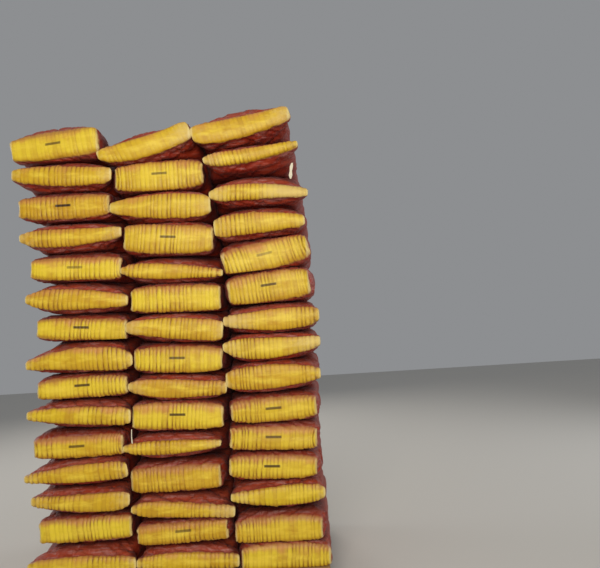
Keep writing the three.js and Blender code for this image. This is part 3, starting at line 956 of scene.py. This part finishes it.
# A mouth's ears have gone pale. The upright edges of a face are pale too, a painted highlight along their
# folds.
pale_noise = remap(tree, scuffs, 0.3, 0.7, -0.06, 0.06)
ear = calculate(tree, "ADD", pale, pale_noise)
ear = remap(tree, ear, -0.05, 0.09, 0.0, 0.62)
ear = calculate(tree, "MULTIPLY", ear, mouth)
painted_edge_highlight = remap(tree, from_side, 0.012, 0.004, 0.0, 0.6)

# The dark bar on a base, about 80 by 13 mm with soft edges.
off_x, off_z = (
    calculate(tree, "ABSOLUTE", add_node(tree, "ShaderNodeSeparateXYZ", [face_map], out=axis))
    for axis in "XY"
)
in_width = remap(tree, off_x, 0.044, 0.037)
in_height = remap(tree, off_z, 0.008, 0.005)
bar = calculate(tree, "MULTIPLY", in_width, in_height)
bar = calculate(tree, "MULTIPLY", bar, bar_print)

# The yellow ends behind the face, bled to a peach: 7 to 17 mm from a base's face and 4 to
# 11 mm from a mouth's edge.
bleed = remap(tree, scuffs, 0.0, 1.0, -0.004, 0.004)
print_edge = calculate(tree, "ADD", from_end, bleed)
at_mouth = remap(tree, mouth, 0.0, 1.0, 1.0, 1.6)
print_edge = calculate(tree, "MULTIPLY", print_edge, at_mouth)
tinge = remap(tree, print_edge, 0.0, 0.01, 0.0, 0.75)
turnover = remap(tree, print_edge, 0.007, 0.017)

# What lies over the yellow, from the lowest: its share and its colour.
for share, tone in (
    (golden, "#bd8b16"), (darker_pleat, "#b0841c"), (painted_glare, "#e6ca3e"), (painted_furrow_shade, "#825210"),
    (lower_fold, "#bf9018"), (haze, "#c98750"), (upper_fold, "#9a6438"), (ear, "#d2b978"),
    (painted_edge_highlight, "#e0d096"), (bar, "#3a2406"), (tinge, "#a86e48"),
):
    yellow = blend(tree, share, yellow, tone)
sack_print = blend(tree, turnover, yellow, maroon)
tree.links.new(sack_print, shader.inputs["Base Color"])
film_rough = remap(tree, scuffs, 0.3, 0.7, 0.4, 0.58)
tree.links.new(film_rough, shader.inputs["Roughness"])

# The weave: tapes 3 mm wide, over and under, in both directions. Creases 10 to 40 mm long lie over it, and
# behind a face the folds across the sack stand up too.
tape_pair = 0.006
tape_waves = []
for axis in "XY":
    across_tapes = add_node(tree, "ShaderNodeSeparateXYZ", [cloth_map], out=axis)
    turns = calculate(tree, "MULTIPLY", across_tapes, 2 * math.pi / tape_pair)
    tape_waves.append(calculate(tree, "SINE", turns))
weave = calculate(tree, "MULTIPLY", *tape_waves)
weave_bump = add_node(tree, "ShaderNodeBump", {"Height": weave, "Strength": 0.35, "Distance": 0.0004})
creases = noise(tree, place, 28.0, 5.0, roughness=0.55, distortion=0.6)
crease_bump = add_node(
    tree, "ShaderNodeBump", {"Height": creases, "Normal": weave_bump, "Strength": 0.3, "Distance": 0.006}
)
behind_face = remap(tree, from_end, 0.01, 0.03, 0.0, 0.7)
across_bump = add_node(
    tree, "ShaderNodeBump",
    {"Height": across_folds, "Normal": crease_bump, "Strength": behind_face, "Distance": 0.02},
)
tree.links.new(across_bump, shader.inputs["Normal"])

# Polyester sewing thread, undyed. A mouth is sewn with a chain of it. At two mouths the
# chain's loose end sticks out at a corner, one up and one down, matted with dust.
sewing_thread, _, _ = new_material(
    "undyed polyester thread", {"Base Color": linear("#d8d2bc"), "Roughness": 0.8}
)


def add_thread(mesh, path, width):
    """Adds a flat strip of matted thread along a path to a sack's mesh."""
    mesh.materials.append(sewing_thread)
    shape = bmesh.new()
    shape.from_mesh(mesh)
    rows = []
    for k, (x, y, z) in enumerate(path):
        half = width * (0.5 + 0.12 * math.sin(2.6 * k)) * (0.6 if k in (0, len(path) - 1) else 1.0)
        corners = ((-half, -1.5), (half, -1.5), (half, 1.5), (-half, 1.5))
        rows.append([shape.verts.new(((x + dx) / 1000, (y + dy) / 1000, z / 1000)) for dx, dy in corners])
    made = [shape.faces.new(rows[0][::-1]), shape.faces.new(rows[-1])]
    for one, other in zip(rows[:-1], rows[1:]):
        made += [shape.faces.new((one[k], one[(k + 1) % 4], other[(k + 1) % 4], other[k])) for k in range(4)]
    for face in made:
        face.material_index = 1
    bmesh.ops.recalc_face_normals(shape, faces=made)
    shape.to_mesh(mesh)
    shape.free()


# By column and row: the path, from the column's middle, the sacks' front and the deck, and
# the width.
threads = {
    ("middle", 5): ([(-222, -14, 648), (-224, -17, 672), (-226, -15, 704), (-225, -12, 736)], 5),
    ("right", 14): (
        [(186, -12, 2052), (181, -17, 2032), (177, -20, 2008), (174, -18, 1986), (173, -12, 1970)], 15,
    ),
}

# The deck's upper face carries the lowest row, and the middle bearer marks the middle.
stack_shift = 20.0  # the stack stands this far to the right of the pallet's middle
deck_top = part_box("deck_board_1")[1][2] * 1000
bearer_low, bearer_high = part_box("bearer_middle")
middle_x = 1000 * (bearer_low[0] + bearer_high[0]) / 2 + stack_shift
front_y = 1000 * (bearer_low[1] + bearer_high[1]) / 2 - sack_length / 2
walls = [None, wall_between(columns[0], columns[1]), wall_between(columns[1], columns[2]), None]
for c, column in enumerate(columns):
    own_walls = [(lambda z, w=w, x=column["x"]: w(z) - x) if w else None for w in walls[c : c + 2]]
    rows, beds = column["rows"], column["beds"]
    for r, front in enumerate(rows):
        back = far_end(front, beds[r], beds[r + 1], r, c)
        set_back = 6 * math.sin(r * 1.9 + c * 2.3)
        rng = np.random.default_rng(1000 + 50 * c + r)
        on_top = r == len(rows) - 1
        bed_wave = [r * 2.1 + c, r * 1.3 + 2 * c, (r + 1) * 2.1 + c, (r + 1) * 1.3 + 2 * c]
        bed_wave += [0.0 if r == 0 else 1.0, 0.0 if on_top else 1.0]
        body = {"middle": column["bodies"][r], "half": column["half"]}
        fold_rng = np.random.default_rng(9000 + 50 * c + r)
        folds = {True: folds_for(front["kind"], fold_rng), False: folds_for(back["kind"], fold_rng)}
        parts = sack_parts(
            front, back, beds[r], beds[r + 1], body, own_walls, set_back, rng, on_top, bed_wave, folds
        )
        name = f"woven_sack_{column['side']}_{r + 1:02d}"
        origin = np.array([column["x"] + middle_x, front_y, deck_top])
        mesh = sack_mesh(name, parts, origin)
        mesh.materials.append(woven_polypropylene)
        if (column["side"], r + 1) in threads:
            path, width = threads[column["side"], r + 1]
            add_thread(mesh, np.array(path) + origin, width)
        sack = put(name, mesh, f"sack_{column['side']}_row_{r + 1:02d}")


# Floor, under and behind the stack. It is not part of the object.
pale_floor, _, _ = new_material("pale matt floor", {"Base Color": linear("#c8c6c1"), "Roughness": 0.85})
floor_mesh = bpy.data.meshes.new("floor")
floor_mesh.from_pydata([(-9, -9, 0), (9, -9, 0), (9, 9, 0), (-9, 9, 0)], [], [(0, 1, 2, 3)])
floor_mesh.materials.append(pale_floor)
new_object("floor", floor_mesh)


# Light: five large soft lamps in an even grey room. Two stand in front, one high and near
# and one low and further off, one behind, and a weak one on each side.
def soft_lamp(name, place, aim, size, power, colour):
    """A square lamp, as wide as its size in metres, that faces what it aims at."""
    lamp = bpy.data.lights.new(name, "AREA")
    lamp.shape = "SQUARE"
    lamp.size = size
    lamp.energy = power
    lamp.color = linear(colour)[:3]
    holder = new_object(name, lamp)
    holder.location = place
    holder.rotation_euler = (Vector(aim) - Vector(place)).to_track_quat("-Z", "Y").to_euler()


soft_lamp("key lamp", (0.2, -4.0, 3.0), (0.0, 0.0, 1.1), 1.5, 78, "#fff6e4")
soft_lamp("fill lamp", (1.0, -5.6, 1.7), (0.0, 0.0, 0.8), 2.0, 86, "#fff8ee")
soft_lamp("back lamp", (-0.9, 4.8, 3.4), (0.0, 0.0, 1.3), 2.4, 80, "#fff8ee")
soft_lamp("right lamp", (4.8, 1.6, 2.8), (0.0, 0.0, 1.2), 2.0, 45, "#ffffff")
soft_lamp("left lamp", (-4.8, 1.2, 2.8), (0.0, 0.0, 1.2), 2.0, 40, "#ffffff")
world = bpy.data.worlds.new("even grey room")
world.use_nodes = True
world.node_tree.nodes["Background"].inputs["Color"].default_value = linear("#b9bbbe")
world.node_tree.nodes["Background"].inputs["Strength"].default_value = 0.55
bpy.context.scene.world = world
bpy.context.scene.view_settings.view_transform = "Standard"

# Camera, 2.8 m in front of the stack, 0.7 m to its right and 1.4 m up, tipped up by 3 degrees
# and rolled, as the photograph was taken. Its focal length is 550 of the picture's 600 pixels.
eye = (Vector((728.1, -2829.1, 1273.8)) + Vector((middle_x, front_y, deck_top))) / 1000
yaw, pitch, roll = math.radians(-1.03), math.radians(3.0), math.radians(3.6)
ahead = Vector((math.sin(yaw) * math.cos(pitch), math.cos(yaw) * math.cos(pitch), math.sin(pitch)))
level_right = Vector((math.cos(yaw), -math.sin(yaw), 0))
level_down = ahead.cross(level_right)
right = math.cos(roll) * level_right + math.sin(roll) * level_down
down = math.cos(roll) * level_down - math.sin(roll) * level_right
camera_data = bpy.data.cameras.new("camera")
camera_data.sensor_fit = "HORIZONTAL"
camera_data.lens = camera_data.sensor_width * 550 / 600
camera = new_object("camera", camera_data)
camera.matrix_world = Matrix.Translation(eye) @ Matrix((right, -down, -ahead)).transposed().to_4x4()
bpy.context.scene.camera = camera
